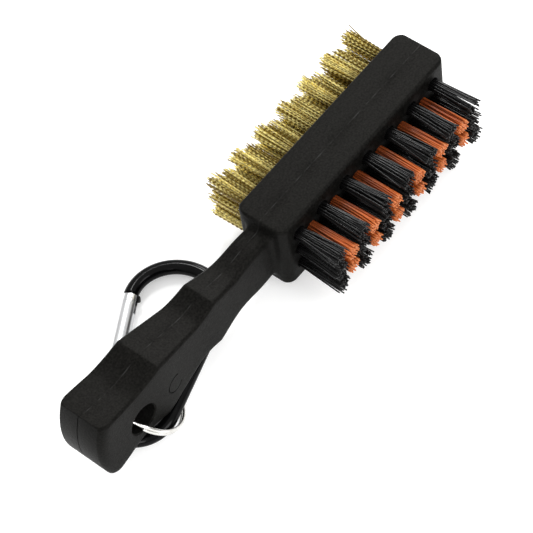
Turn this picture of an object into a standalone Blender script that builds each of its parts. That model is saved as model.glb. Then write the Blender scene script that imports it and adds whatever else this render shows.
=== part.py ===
"""Two-sided club groove brush with a split ring and a snap hook.

Frame: origin at the centre of the head's underside, +X along the brush to the
head's tip, +Y to the brass side, +Z up. The brush lies on its narrow side.
All lengths are metres; tables of profile points are millimetres.
"""
import math

import bmesh
import bpy
from mathutils import Matrix, Vector

MM = 0.001
OBJECT_NAME = "club_groove_brush"

# Head: a block with upright corners rounded in plan.
HEAD_LENGTH = 75.0 * MM
HEAD_HALF_WIDTH = 8.5 * MM
HEAD_HALF_DEPTH = 12.7 * MM
HEAD_CORNER = 3.0 * MM
HEAD_EDGE = 1.0 * MM
WALL_X = -HEAD_LENGTH / 2
MID_Z = HEAD_HALF_DEPTH

# Handle, in millimetres, as pairs of (distance from the head's end wall, value): half
# depth, width of the brass and nylon sides from the middle, and the edge radius above
# and below. The two depth points close together make a crisp grip ridge.
HANDLE_DEPTHS = (
    (1.6, 9.1), (7.0, 9.1), (12.0, 8.4), (16.6, 8.1), (21.5, 9.0), (25.8, 10.1),
    (26.2, 10.1), (29.5, 9.2), (34.0, 8.7), (40.0, 9.8), (46.0, 11.2), (50.8, 12.4),
    (51.2, 12.4), (54.5, 11.6), (58.0, 11.0), (62.0, 10.75), (66.0, 11.3), (70.0, 12.0),
    (74.5, 12.7),
)
BRASS_WIDTHS = (
    (1.6, 4.2), (12.0, 4.4), (20.0, 5.0), (26.0, 5.6), (34.0, 6.3), (42.0, 7.0),
    (50.0, 7.6), (58.0, 8.0), (66.0, 8.2), (74.5, 8.2),
)
NYLON_WIDTHS = (
    (1.6, 4.2), (12.0, 4.4), (20.0, 4.9), (26.0, 5.4), (34.0, 5.7), (42.0, 6.4),
    (50.0, 7.15), (58.0, 7.1), (62.0, 7.1), (67.0, 7.5), (74.5, 8.0),
)
TOP_EDGES = ((1.6, 2.2), (12.0, 1.6), (24.0, 1.1), (60.0, 1.0), (74.5, 0.8))
UNDER_EDGES = ((1.6, 2.2), (20.0, 2.0), (60.0, 1.9), (74.5, 2.4))
NECK_FILLET = 1.6
BULGE_START = 58.0
BUTT_START = 71.0
BUTT_LENGTH = 3.5
BUTT_BULGE = 2.9 * MM
BRASS_CORNER = 1.8
NYLON_CORNER = 2.4
CORNER_STEPS = 4
SIDE_STEPS = 6

# Hang hole through the handle, along Y.
HOLE_X = -97.8 * MM
HOLE_Z = 10.7 * MM
HOLE_RADIUS = 4.8 * MM

# Bristle tufts: seven stations of three, with six stations of two between them.
STATION_PITCH = 10.3 * MM
COLUMN_PITCH = 6.8 * MM
SOCKET_RADIUS = 2.2 * MM
SOCKET_DEPTH = 6.2 * MM
TUFT_ROOT_DEPTH = 4.4 * MM
TUFT_ROOT_RADIUS = 1.7 * MM
TUFT_LENGTH = 15.0 * MM
TUFT_SIDES = 12
BLACK_TIP_RADIUS = 2.7 * MM
ORANGE_TIP_RADIUS = 2.3 * MM
BRASS_TIP_RADIUS = 2.3 * MM
CORE_HALF = 0.4 * MM
CORE_DEPTH = 3.8 * MM
CORE_GAP = 0.3 * MM

# Split ring: two turns of wire side by side, joined by one short jog.
RING_CENTRE = Vector((-89.5, 1.25, 3.8)) * MM
RING_NORMAL = Vector((0.620, -0.360, 0.697))
RING_RADIUS = 12.95 * MM
RING_WIRE_RADIUS = 0.5 * MM
RING_TURN_SPACING = 1.06 * MM
RING_JOG = math.radians(26.0)
RING_END_GAP = math.radians(14.0)
RING_JOG_AT = math.radians(150.0)
RING_STEPS = 84

# Snap hook, in its own plane: local X runs along the spine to the wide end,
# local Y from the spine to the gate. The origin is on the spine, in the ring.
HOOK_ORIGIN = Vector((-83.47, -4.99, -2.07)) * MM
HOOK_YAW = math.radians(17.1)
HOOK_PITCH = math.radians(0.34)
ROD_RADIUS = 2.2 * MM
ROD_FLATTEN = 0.91
WIDE_CENTRE = Vector((29.0, 13.2, 0.0)) * MM
WIDE_RADII = (12.2 * MM, 13.2 * MM)
NARROW_CENTRE = Vector((-5.7, 10.1, 0.0)) * MM
NARROW_RADII = (10.1 * MM, 10.1 * MM)
NOSE_ANGLE = math.radians(96.0)
HEEL_ANGLE = math.radians(88.0)
ARC_STEPS = 14

# Gate: a tube hinged on the hook's heel, with a slot at each end.
GATE_PIVOT = Vector((-2.1, 19.6, 0.0)) * MM
GATE_TIP = Vector((27.1, 26.2, 0.0)) * MM
GATE_RADIUS = 2.4 * MM
GATE_BORE = 1.7 * MM
SLOT_WIDTH = 2.4 * MM
BLADE_THICKNESS = 1.8 * MM
NOSE_SLOT_DEPTH = 6.0 * MM
HEEL_SLOT_DEPTH = 4.8 * MM
PIN_RADIUS = 0.75 * MM
PIN_HOLE_RADIUS = 1.05 * MM
RIVET_HEAD_RADIUS = 1.3 * MM
LATCH_PIN_RADIUS = 0.5 * MM
LATCH_HOLE_RADIUS = 0.8 * MM
LATCH_PIN_AT = Vector((27.6, -0.6, 0.0)) * MM
TONGUE_RADIUS = 1.9 * MM
SPRING_RADIUS = 1.15 * MM
SPRING_WIRE = 0.2 * MM
SPRING_TURNS = 7
SPRING_START = 7.4 * MM
SPRING_PITCH = 1.0 * MM

BLACK_PLASTIC = ("black_plastic", (0.028, 0.028, 0.03), 0.55, 0.0)
BLACK_NYLON = ("black_nylon", (0.02, 0.02, 0.022), 0.45, 0.0)
ORANGE_NYLON = ("orange_nylon", (0.72, 0.19, 0.04), 0.5, 0.0)
BRASS_WIRE = ("brass_wire", (0.78, 0.62, 0.26), 0.35, 1.0)
SPRING_STEEL = ("spring_steel", (0.6, 0.6, 0.58), 0.4, 1.0)
RING_STEEL = ("ring_steel", (0.75, 0.75, 0.74), 0.2, 1.0)
BLACK_ANODISED = ("black_anodised", (0.02, 0.02, 0.022), 0.3, 0.6)
GATE_ALUMINIUM = ("gate_aluminium", (0.8, 0.81, 0.82), 0.25, 1.0)


def clear_scene():
    for old in list(bpy.data.objects):
        bpy.data.objects.remove(old, do_unlink=True)


def new_collection(name):
    collection = bpy.data.collections.new(name)
    bpy.context.scene.collection.children.link(collection)
    return collection


def get_material(spec):
    name, colour, roughness, metallic = spec
    material = bpy.data.materials.get(name)
    if material is None:
        material = bpy.data.materials.new(name)
        material.use_nodes = True
        shader = material.node_tree.nodes["Principled BSDF"]
        shader.inputs["Base Color"].default_value = (*colour, 1.0)
        shader.inputs["Roughness"].default_value = roughness
        shader.inputs["Metallic"].default_value = metallic
        material.diffuse_color = (*colour, 1.0)
    return material


def mesh_from(bm, name):
    bmesh.ops.recalc_face_normals(bm, faces=bm.faces)
    mesh = bpy.data.meshes.new(name)
    bm.to_mesh(mesh)
    bm.free()
    return mesh


def place(name, mesh, material, collection, smooth_angle=35.0):
    part = bpy.data.objects.new(name, mesh)
    collection.objects.link(part)
    mesh.materials.clear()
    mesh.materials.append(get_material(material))
    mesh.shade_smooth()
    mesh.set_sharp_from_angle(angle=math.radians(smooth_angle))
    return part


def cutter(name, mesh, collection):
    part = bpy.data.objects.new(name, mesh)
    collection.objects.link(part)
    part.hide_render = True
    part.display_type = "WIRE"
    return part


def cut(part, tool, operation="DIFFERENCE"):
    modifier = part.modifiers.new(tool.name, "BOOLEAN")
    modifier.operation = operation
    modifier.solver = "EXACT"
    modifier.object = tool
    return modifier


def add_cone(bm, radius, tip_radius, low, high, sides, matrix):
    """A closed cone or cylinder from low to high on local Z."""
    middle = matrix @ Matrix.Translation((0.0, 0.0, (low + high) / 2))
    bmesh.ops.create_cone(
        bm, cap_ends=True, segments=sides, radius1=radius, radius2=tip_radius,
        depth=high - low, matrix=middle,
    )


def add_box(bm, low, high):
    low, high = Vector(low), Vector(high)
    size = Matrix.Diagonal((*(high - low), 1.0))
    bmesh.ops.create_cube(bm, size=1.0, matrix=Matrix.Translation((low + high) / 2) @ size)


def lathe(profile, sides):
    """Turn a profile of (along, radius) pairs, both ends on the axis, about local X."""
    bm = bmesh.new()
    verts = [bm.verts.new((along, radius, 0.0)) for along, radius in profile]
    edges = [bm.edges.new(pair) for pair in zip(verts, verts[1:])]
    bmesh.ops.spin(
        bm, geom=verts + edges, cent=(0.0, 0.0, 0.0), axis=(1.0, 0.0, 0.0),
        angle=math.tau, steps=sides, use_merge=True,
    )
    bmesh.ops.remove_doubles(bm, verts=bm.verts, dist=1e-7)
    return bm


def prism(outline, half_height):
    """A flat plate with the outline's shape in local XY."""
    bm = bmesh.new()
    face = bm.faces.new([bm.verts.new((x, y, -half_height)) for x, y in outline])
    raised = bmesh.ops.extrude_face_region(bm, geom=[face])["geom"]
    top = [item for item in raised if isinstance(item, bmesh.types.BMVert)]
    bmesh.ops.translate(bm, verts=top, vec=(0.0, 0.0, 2.0 * half_height))
    return bm


def wire_mesh(points, radius, resolution, name):
    """A round wire with closed ends along the points."""
    curve = bpy.data.curves.new(name, "CURVE")
    curve.dimensions = "3D"
    curve.bevel_depth = radius
    curve.bevel_resolution = resolution
    curve.use_fill_caps = True
    spline = curve.splines.new("POLY")
    spline.points.add(len(points) - 1)
    for point, position in zip(spline.points, points):
        point.co = (*position, 1.0)
    holder = bpy.data.objects.new(name, curve)
    bpy.context.scene.collection.objects.link(holder)
    graph = bpy.context.evaluated_depsgraph_get()
    mesh = bpy.data.meshes.new_from_object(holder.evaluated_get(graph))
    bpy.data.objects.remove(holder, do_unlink=True)
    bpy.data.curves.remove(curve)
    bm = bmesh.new()
    bm.from_mesh(mesh)
    bpy.data.meshes.remove(mesh)
    bmesh.ops.remove_doubles(bm, verts=bm.verts, dist=1e-6)
    return bm


def value_at(table, position):
    """Smooth curve through a table of (position, value) pairs."""
    if position <= table[0][0]:
        return table[0][1]
    if position >= table[-1][0]:
        return table[-1][1]
    index = max(i for i, pair in enumerate(table) if pair[0] <= position)
    slopes = []
    for i in (index, index + 1):
        before, after = table[max(i - 1, 0)], table[min(i + 1, len(table) - 1)]
        slopes.append((after[1] - before[1]) / (after[0] - before[0]))
    (x0, y0), (x1, y1) = table[index], table[index + 1]
    width = x1 - x0
    t = (position - x0) / width
    return (
        (2 * t ** 3 - 3 * t ** 2 + 1) * y0 + (t ** 3 - 2 * t ** 2 + t) * width * slopes[0]
        + (3 * t ** 2 - 2 * t ** 3) * y1 + (t ** 3 - t ** 2) * width * slopes[1]
    )


def rounded_section(widths, half_depth, edges):
    """Rounded rectangle in (y, z) round the middle, from -Z up the +Y side.

    The widths reach to +Y and to -Y, and the edges are the radii above and below.
    """
    points = []
    corners = ((1, -1, -90.0), (1, 1, 0.0), (-1, 1, 90.0), (-1, -1, 180.0))
    for side_y, side_z, start in corners:
        width = widths[0] if side_y > 0 else widths[1]
        radius = edges[0] if side_z > 0 else edges[1]
        for step in range(CORNER_STEPS + 1):
            angle = math.radians(start + 90.0 * step / CORNER_STEPS)
            y = side_y * (width - radius) + radius * math.cos(angle)
            z = side_z * (half_depth - radius) + radius * math.sin(angle)
            points.append((y, z))
        if side_y * side_z < 0:
            ends = (edges[1] - half_depth, half_depth - edges[0])
            low, high = ends if side_y > 0 else ends[::-1]
            for step in range(1, SIDE_STEPS):
                points.append((side_y * width, low + (high - low) * step / SIDE_STEPS))
    return points


def head_sections():
    """(distance past the end wall, widths, half depth, edges, bulge) from tip to wall."""
    tip = []
    for step in range(6):
        angle = math.radians(90.0 * step / 5)
        x = HEAD_LENGTH / 2 - HEAD_CORNER * (1.0 - math.cos(angle))
        half_width = HEAD_HALF_WIDTH - HEAD_CORNER * (1.0 - math.sin(angle))
        inset = (0.8, 0.3, 0.1, 0.0, 0.0, 0.0)[step] * MM
        tip.append((x, half_width, HEAD_HALF_DEPTH - inset))
    wall = [(-x, half_width, half_depth) for x, half_width, half_depth in reversed(tip)]
    edges = (HEAD_EDGE, HEAD_EDGE)
    return [(WALL_X - x, (w, w), d, edges, 0.0) for x, w, d in tip + wall]


def butt_rounding(corner, away):
    """How far a side has drawn in at the butt's upright corner."""
    turn = max(0.0, (away - BUTT_START) / BUTT_LENGTH)
    return corner * (1.0 - math.sqrt(1.0 - 0.96 * turn ** 2))


def handle_sections():
    """The same five values for the handle, from the end wall to the butt."""
    sections = []
    for step in range(5):
        angle = math.radians(90.0 * step / 4)
        away = 0.05 + NECK_FILLET * (1.0 - math.cos(angle))
        flare = 1.0 - math.sin(angle)
        width = 4.2 + 1.2 * flare
        sections.append((away, (width, width), 9.1 + 2.7 * flare, (2.2, 2.2), 0.0))
    distances = [3.5 + 2.5 * i for i in range(28)]
    distances += [BUTT_START + BUTT_LENGTH * step / 5 for step in range(1, 6)]
    for away in distances:
        widths = (
            value_at(BRASS_WIDTHS, away) - butt_rounding(BRASS_CORNER, away),
            value_at(NYLON_WIDTHS, away) - butt_rounding(NYLON_CORNER, away),
        )
        edges = (value_at(TOP_EDGES, away), value_at(UNDER_EDGES, away))
        bulge = min(1.0, max(0.0, (away - BULGE_START) / (BUTT_START - BULGE_START)) ** 2)
        sections.append((away, widths, value_at(HANDLE_DEPTHS, away), edges, bulge))
    return [
        (away * MM, [w * MM for w in widths], depth * MM, [e * MM for e in edges], bulge)
        for away, widths, depth, edges, bulge in sections
    ]


def body_mesh():
    """Loft the head and handle as one moulding, tip first."""
    bm = bmesh.new()
    rings = []
    for away, widths, half_depth, edges, bulge in head_sections() + handle_sections():
        ring = []
        for y, z in rounded_section(widths, half_depth, edges):
            reach = away + bulge * BUTT_BULGE * (1.0 - (z / half_depth) ** 2)
            ring.append(bm.verts.new((WALL_X - reach, y, MID_Z + z)))
        rings.append(ring)
    count = len(rings[0])
    for near, far in zip(rings, rings[1:]):
        for i in range(count):
            j = (i + 1) % count
            bm.faces.new((near[i], near[j], far[j], far[i]))
    for ring in (rings[0], rings[-1]):
        for i in range(count // 2 - 1):
            bm.faces.new((ring[i], ring[i + 1], ring[count - 2 - i], ring[count - 1 - i]))
    return mesh_from(bm, "handle_body")


def tuft_rows():
    """(station index from the handle, x, column heights): threes, with twos between."""
    rows = []
    for station in range(13):
        x = (station - 6) * STATION_PITCH / 2
        columns = (-1.0, 0.0, 1.0) if station % 2 == 0 else (-0.5, 0.5)
        rows.append((station, x, [MID_Z + COLUMN_PITCH * c for c in columns]))
    return rows


def side_matrix(x, z, side):
    """Local Z points straight out of the head's face on the given side."""
    turn = Matrix.Rotation(math.radians(-90.0 * side), 4, "X")
    return Matrix.Translation((x, side * HEAD_HALF_WIDTH, z)) @ turn


def socket_mesh():
    bm = bmesh.new()
    for _, x, heights in tuft_rows():
        for z in heights:
            for side in (-1, 1):
                add_cone(bm, SOCKET_RADIUS, SOCKET_RADIUS, -SOCKET_DEPTH, 1.0 * MM,
                         TUFT_SIDES, side_matrix(x, z, side))
    return mesh_from(bm, "socket_cutter")


def add_core(bm, x, heights, side, margin):
    """A straight core along Z that ties one station's tufts together inside the head."""
    middle = Vector((x, side * (HEAD_HALF_WIDTH - CORE_DEPTH), MID_Z))
    half = Vector((CORE_HALF + margin, CORE_HALF + margin, max(heights) - MID_Z))
    add_box(bm, middle - half, middle + half)


def core_channel_mesh():
    bm = bmesh.new()
    for _, x, heights in tuft_rows():
        for side in (-1, 1):
            add_core(bm, x, heights, side, CORE_GAP)
    return mesh_from(bm, "core_channel_cutter")


def build_body(parts, cutters):
    body = place("handle_body", body_mesh(), BLACK_PLASTIC, parts)
    bm = bmesh.new()
    across = Matrix.Translation((HOLE_X, 0.0, HOLE_Z)) @ Matrix.Rotation(math.radians(90.0), 4, "X")
    add_cone(bm, HOLE_RADIUS, HOLE_RADIUS, -15.0 * MM, 15.0 * MM, 32, across)
    cut(body, cutter("hang_hole_cutter", mesh_from(bm, "hang_hole_cutter"), cutters))
    cut(body, cutter("socket_cutter", socket_mesh(), cutters))
    cut(body, cutter("core_channel_cutter", core_channel_mesh(), cutters))


def build_tuft_row(label, material, side, x, heights, tip, parts, cutters):
    core = bmesh.new()
    add_core(core, x, heights, side, 0.0)
    row = place(label, mesh_from(core, label), material, parts)
    bm = bmesh.new()
    for z in heights:
        add_cone(bm, TUFT_ROOT_RADIUS, tip, -TUFT_ROOT_DEPTH, TUFT_LENGTH,
                 TUFT_SIDES, side_matrix(x, z, side))
    tool = f"{label}_tool"
    cut(row, cutter(tool, mesh_from(bm, tool), cutters), "UNION")


def build_tufts(parts, cutters):
    for station, x, heights in tuft_rows():
        number = station + 1
        build_tuft_row(f"brass_tufts_{number:02d}", BRASS_WIRE, 1, x, heights,
                       BRASS_TIP_RADIUS, parts, cutters)
        if station % 2 == 0:
            build_tuft_row(f"black_tufts_{number:02d}", BLACK_NYLON, -1, x, heights,
                           BLACK_TIP_RADIUS, parts, cutters)
        else:
            build_tuft_row(f"orange_tufts_{number:02d}", ORANGE_NYLON, -1, x, heights,
                           ORANGE_TIP_RADIUS, parts, cutters)


def ring_point(step):
    """A point on the wire's centre line: one turn low, a jog, one turn high."""
    total = 2.0 * math.tau - RING_JOG - RING_END_GAP
    angle = RING_END_GAP / 2 + total * step / RING_STEPS
    jog = (angle - math.tau + RING_JOG / 2) / RING_JOG
    jog = min(1.0, max(0.0, jog))
    lift = (jog * jog * (3.0 - 2.0 * jog) - 0.5) * RING_TURN_SPACING
    turned = angle + RING_JOG_AT
    return (RING_RADIUS * math.cos(turned), RING_RADIUS * math.sin(turned), lift)


def build_ring(parts):
    points = [ring_point(step) for step in range(RING_STEPS + 1)]
    bm = wire_mesh(points, RING_WIRE_RADIUS, 2, "split_ring")
    hinge = Vector((HOLE_X, 0.0, HOLE_Z))
    turn = RING_NORMAL.to_track_quat("Z", "Y").to_matrix().to_4x4()
    bm.transform(Matrix.Translation(RING_CENTRE - hinge) @ turn)
    ring = place("split_ring", mesh_from(bm, "split_ring"), RING_STEEL, parts)
    ring.location = hinge


def arc(centre, radii, start, end, steps):
    """Points along an ellipse, whose radii are along local X and Y."""
    angles = [start + (end - start) * step / steps for step in range(steps + 1)]
    return [
        centre + Vector((radii[0] * math.cos(a), radii[1] * math.sin(a), 0.0)) for a in angles
    ]


def rod_mesh():
    quarter = math.radians(90.0)
    path = arc(WIDE_CENTRE, WIDE_RADII, NOSE_ANGLE, -quarter, ARC_STEPS)
    path += arc(NARROW_CENTRE, NARROW_RADII, -quarter, HEEL_ANGLE - math.tau, ARC_STEPS)
    bm = wire_mesh(path, ROD_RADIUS, 4, "carabiner_body")
    bm.transform(Matrix.Diagonal((1.0, 1.0, ROD_FLATTEN, 1.0)))
    return mesh_from(bm, "carabiner_body")


def heel_outline():
    """Flat tongue that carries the gate, rounded about the hinge pin."""
    points = [(-4.2 * MM, -1.7 * MM)]
    for step in range(9):
        angle = math.radians(-80.0 + 20.0 * step)
        points.append((TONGUE_RADIUS * math.cos(angle), TONGUE_RADIUS * math.sin(angle)))
    points.append((-4.2 * MM, 1.7 * MM))
    return points


def nose_outline():
    """Flat nose blade with a notch for the latch pin and a stop at the tube's mouth."""
    outline = (
        (31.4, -1.3), (30.2, -1.3), (29.8, -3.0), (28.9, -3.0), (28.6, -2.6), (28.6, 0.1),
        (26.6, 0.1), (26.6, -2.0), (25.7, -2.0), (25.3, -1.6), (25.3, 0.6), (26.0, 1.3),
        (31.4, 1.3),
    )
    return [(x * MM, y * MM) for x, y in outline]


def gate_turn():
    along = GATE_TIP - GATE_PIVOT
    return Matrix.Translation(GATE_PIVOT) @ Matrix.Rotation(math.atan2(along.y, along.x), 4, "Z")


def empty(name, collection, matrix, parent=None):
    holder = bpy.data.objects.new(name, None)
    collection.objects.link(holder)
    holder.empty_display_size = 5.0 * MM
    holder.parent = parent
    holder.matrix_local = matrix
    return holder


def add_pin_hole(part, name, radius, at, parent, cutters):
    bm = bmesh.new()
    add_cone(bm, radius, radius, -6.0 * MM, 6.0 * MM, 16, Matrix.Translation(at))
    tool = cutter(name, mesh_from(bm, name), cutters)
    tool.parent = parent
    cut(part, tool)


def build_carabiner(parts, cutters, hook_frame, gate_frame):
    body = place("carabiner_body", rod_mesh(), BLACK_ANODISED, parts)
    body.parent = hook_frame
    for name, outline in (("heel_tongue", heel_outline()), ("nose_blade", nose_outline())):
        tool = cutter(name, mesh_from(prism(outline, BLADE_THICKNESS / 2), name), cutters)
        tool.parent = gate_frame
        cut(body, tool, "UNION")
    add_pin_hole(body, "heel_hole_cutter", PIN_HOLE_RADIUS, (0.0, 0.0, 0.0), gate_frame, cutters)


def gate_mesh():
    length = (GATE_TIP - GATE_PIVOT).length
    back = -GATE_RADIUS
    profile = (
        (back, 0.0), (back, 0.9 * MM), (back + 0.4 * MM, 1.6 * MM), (back + 1.2 * MM, 2.1 * MM),
        (0.0, GATE_RADIUS), (length - 0.4 * MM, GATE_RADIUS), (length, 2.1 * MM), (length, 0.0),
    )
    return mesh_from(lathe(profile, 24), "carabiner_gate")


def build_gate(parts, cutters, gate_frame):
    length = (GATE_TIP - GATE_PIVOT).length
    gate = place("carabiner_gate", gate_mesh(), GATE_ALUMINIUM, parts)
    gate.parent = gate_frame
    bore_low, bore_high = HEEL_SLOT_DEPTH - 0.5 * MM, length - NOSE_SLOT_DEPTH + 0.5 * MM
    bore = lathe(((bore_low, 0.0), (bore_low, GATE_BORE), (bore_high, GATE_BORE), (bore_high, 0.0)), 16)
    tools = [("gate_bore_cutter", bore)]
    reach = 4.0 * MM
    for name, low, high in (
        ("heel_slot_cutter", -reach, HEEL_SLOT_DEPTH),
        ("nose_slot_cutter", length - NOSE_SLOT_DEPTH, length + reach),
    ):
        bm = bmesh.new()
        add_box(bm, (low, -reach, -SLOT_WIDTH / 2), (high, reach, SLOT_WIDTH / 2))
        tools.append((name, bm))
    for name, bm in tools:
        tool = cutter(name, mesh_from(bm, name), cutters)
        tool.parent = gate_frame
        cut(gate, tool)
    add_pin_hole(gate, "gate_pin_hole_cutter", PIN_HOLE_RADIUS, (0.0, 0.0, 0.0), gate_frame, cutters)
    add_pin_hole(gate, "latch_hole_cutter", LATCH_HOLE_RADIUS, LATCH_PIN_AT, gate_frame, cutters)


def build_gate_pins(parts, gate_frame):
    upright = Matrix.Rotation(math.radians(-90.0), 4, "Y")
    head_low, head_high = GATE_RADIUS + 0.15 * MM, GATE_RADIUS + 0.55 * MM
    rivet = lathe((
        (-head_high, 0.0), (-head_high, RIVET_HEAD_RADIUS * 0.8), (-head_low, RIVET_HEAD_RADIUS),
        (-head_low, PIN_RADIUS), (head_low, PIN_RADIUS), (head_low, RIVET_HEAD_RADIUS),
        (head_high, RIVET_HEAD_RADIUS * 0.8), (head_high, 0.0),
    ), 16)
    rivet.transform(upright)
    hinge = place("gate_hinge_rivet", mesh_from(rivet, "gate_hinge_rivet"), GATE_ALUMINIUM, parts)
    hinge.parent = gate_frame
    half = 2.2 * MM
    pin = lathe(((-half, 0.0), (-half, LATCH_PIN_RADIUS), (half, LATCH_PIN_RADIUS), (half, 0.0)), 12)
    pin.transform(Matrix.Translation(LATCH_PIN_AT) @ upright)
    latch = place("gate_latch_pin", mesh_from(pin, "gate_latch_pin"), SPRING_STEEL, parts)
    latch.parent = gate_frame


def build_gate_spring(parts, gate_frame):
    plunger = lathe((
        (2.2 * MM, 0.0), (2.2 * MM, 0.85 * MM), (5.2 * MM, 0.85 * MM), (5.2 * MM, 1.35 * MM),
        (SPRING_START - 0.5 * MM, 1.35 * MM), (SPRING_START - 0.5 * MM, 0.0),
    ), 14)
    plunger_part = place("gate_plunger", mesh_from(plunger, "gate_plunger"), SPRING_STEEL, parts)
    plunger_part.parent = gate_frame
    points = []
    per_turn = 10
    for step in range(SPRING_TURNS * per_turn + 1):
        angle = math.tau * step / per_turn
        along = SPRING_START + SPRING_PITCH * step / per_turn
        points.append((along, SPRING_RADIUS * math.cos(angle), SPRING_RADIUS * math.sin(angle)))
    coil = wire_mesh(points, SPRING_WIRE, 1, "gate_spring")
    spring = place("gate_spring", mesh_from(coil, "gate_spring"), SPRING_STEEL, parts)
    spring.parent = gate_frame


def main():
    clear_scene()
    parts = new_collection(OBJECT_NAME)
    cutters = new_collection("cutters")
    build_body(parts, cutters)
    build_tufts(parts, cutters)
    build_ring(parts)
    hook_place = (
        Matrix.Translation(HOOK_ORIGIN) @ Matrix.Rotation(HOOK_PITCH, 4, "Y")
        @ Matrix.Rotation(HOOK_YAW, 4, "Z")
    )
    hook_frame = empty("hook_frame", parts, hook_place)
    gate_frame = empty("gate_frame", parts, gate_turn(), hook_frame)
    build_carabiner(parts, cutters, hook_frame, gate_frame)
    build_gate(parts, cutters, gate_frame)
    build_gate_pins(parts, gate_frame)
    build_gate_spring(parts, gate_frame)


main()
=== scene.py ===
import math
import random

import bmesh
import bpy
import numpy as np
from mathutils import Matrix, Vector, noise


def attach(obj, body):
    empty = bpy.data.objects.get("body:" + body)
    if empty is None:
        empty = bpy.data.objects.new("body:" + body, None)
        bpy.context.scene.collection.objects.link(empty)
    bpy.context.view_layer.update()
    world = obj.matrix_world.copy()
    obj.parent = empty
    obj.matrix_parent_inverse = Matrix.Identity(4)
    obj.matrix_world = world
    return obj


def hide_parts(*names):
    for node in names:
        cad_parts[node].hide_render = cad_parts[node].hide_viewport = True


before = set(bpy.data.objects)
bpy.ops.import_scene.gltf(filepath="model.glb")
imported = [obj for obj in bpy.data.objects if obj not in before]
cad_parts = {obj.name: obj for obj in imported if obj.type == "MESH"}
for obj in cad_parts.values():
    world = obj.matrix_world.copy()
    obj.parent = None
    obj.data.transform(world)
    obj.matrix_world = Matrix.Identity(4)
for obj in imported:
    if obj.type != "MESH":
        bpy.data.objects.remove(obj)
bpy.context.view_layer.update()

MM = 0.001
TAU = math.tau

# Head and handle, as in the CAD model. Tables are (distance past the end wall, value) in mm.
HEAD_HALF_LENGTH = 37.5
HEAD_HALF_WIDTH = 8.5
HEAD_HALF_DEPTH = 12.7
HEAD_CORNER = 3.0
HEAD_EDGE = 1.0
HANDLE_DEPTHS = (
    (1.6, 9.1), (7.0, 9.1), (12.0, 8.4), (16.6, 8.1), (21.5, 9.0), (25.8, 10.1),
    (26.2, 10.1), (29.5, 9.2), (34.0, 8.7), (40.0, 9.8), (46.0, 11.2), (50.8, 12.4),
    (51.2, 12.4), (54.5, 11.6), (58.0, 11.0), (62.0, 10.75), (66.0, 11.3), (70.0, 12.0),
    (74.5, 12.7),
)
BRASS_WIDTHS = (
    (1.6, 4.2), (12.0, 4.4), (20.0, 5.0), (26.0, 5.6), (34.0, 6.3), (42.0, 7.0),
    (50.0, 7.6), (58.0, 8.0), (66.0, 8.2), (74.5, 8.2),
)
NYLON_WIDTHS = (
    (1.6, 4.2), (12.0, 4.4), (20.0, 4.9), (26.0, 5.4), (34.0, 5.7), (42.0, 6.4),
    (50.0, 7.15), (58.0, 7.1), (62.0, 7.1), (67.0, 7.5), (74.5, 8.0),
)
TOP_EDGES = ((1.6, 2.2), (12.0, 1.6), (24.0, 1.1), (60.0, 1.0), (74.5, 0.8))
UNDER_EDGES = ((1.6, 2.2), (20.0, 2.0), (60.0, 1.9), (74.5, 2.4))
NECK_FILLET = 1.6
NECK_HALF_WIDTH = 4.2
NECK_HALF_DEPTH = 9.1
NECK_EDGE = 2.2
BULGE_START = 58.0
BUTT_START = 71.0
BUTT_LENGTH = 3.5
BUTT_BULGE = 2.9
BRASS_CORNER = 1.8
NYLON_CORNER = 2.4
GRIP_RIDGES = (26.0, 51.0)
PARTING_HALF_WIDTH = 0.13
PARTING_HEIGHT = 0.07
HOLE_X, HOLE_Z, HOLE_RADIUS = -97.8, 10.7, 4.8
EJECTOR_AWAY, EJECTOR_Z, EJECTOR_RADIUS = 46.6, 10.5, 3.0

# Bristles. Strands start ROOT_DEPTH below the face that they stand in.
STATION_COUNT = 13
STATION_PITCH = 5.15
COLUMN_PITCH = 6.8
SOCKET_RADIUS = 2.2
TUFT_LENGTH = 15.0
ROOT_DEPTH = 1.9
FIBRE_RADIUS = 0.235
WIRE_RADIUS = 0.19
FIBRES_PER_TUFT = 46
WIRES_PER_TUFT = 36

# Split ring.
RING_CENTRE = Vector((-89.5, 1.25, 3.8))
RING_NORMAL = Vector((0.620, -0.360, 0.697))
RING_RADIUS = 12.95
RING_TURN_SPACING = 1.06
RING_JOG = math.radians(26.0)
RING_END_GAP = math.radians(14.0)
RING_JOG_AT = math.radians(150.0)

# Snap hook.
HOOK_ORIGIN = Vector((-83.47, -4.99, -2.07))
HOOK_YAW = math.radians(17.1)
HOOK_PITCH = math.radians(0.34)
ROD_RADIUS = 2.2
ROD_FLATTEN = 0.91
ROD_CHAMFER, ROD_END_SCALE = 0.3, 0.86
WIDE_CENTRE, WIDE_RADII = (29.0, 13.2), (12.2, 13.2)
NARROW_CENTRE, NARROW_RADII = (-5.7, 10.1), (10.1, 10.1)
NOSE_ANGLE = math.radians(96.0)
HEEL_ANGLE = math.radians(88.0)
GATE_PIVOT = Vector((-2.1, 19.6, 0.0))
GATE_TIP = Vector((27.1, 26.2, 0.0))
GATE_RADIUS = 2.4
GATE_BORE = 1.7
SLOT_HALF = 1.2
TONGUE_HALF = 0.9
RIVET_BORE = 1.05
LATCH_BORE, LATCH_PLACE = 0.52, (27.6, -0.6)

# Stage, in metres. A light is its name, place, target, size and power in watts.
FLOOR_SLOPE = 0.0537
LIGHTS = (
    ("key", (0.7, 0.3, 0.5), (-0.03, 0.0, 0.01), 0.45, 5.5),
    ("fill", (-0.7, -0.5, 0.45), (-0.05, 0.0, 0.01), 0.4, 3.0),
    ("crown", (0.37, 0.41, 0.84), (-0.07, 0.01, 0.0), 0.17, 3.4),
    ("side", (0.15, -0.7, 0.6), (-0.03, 0.0, 0.01), 0.5, 4.0),
)

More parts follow.
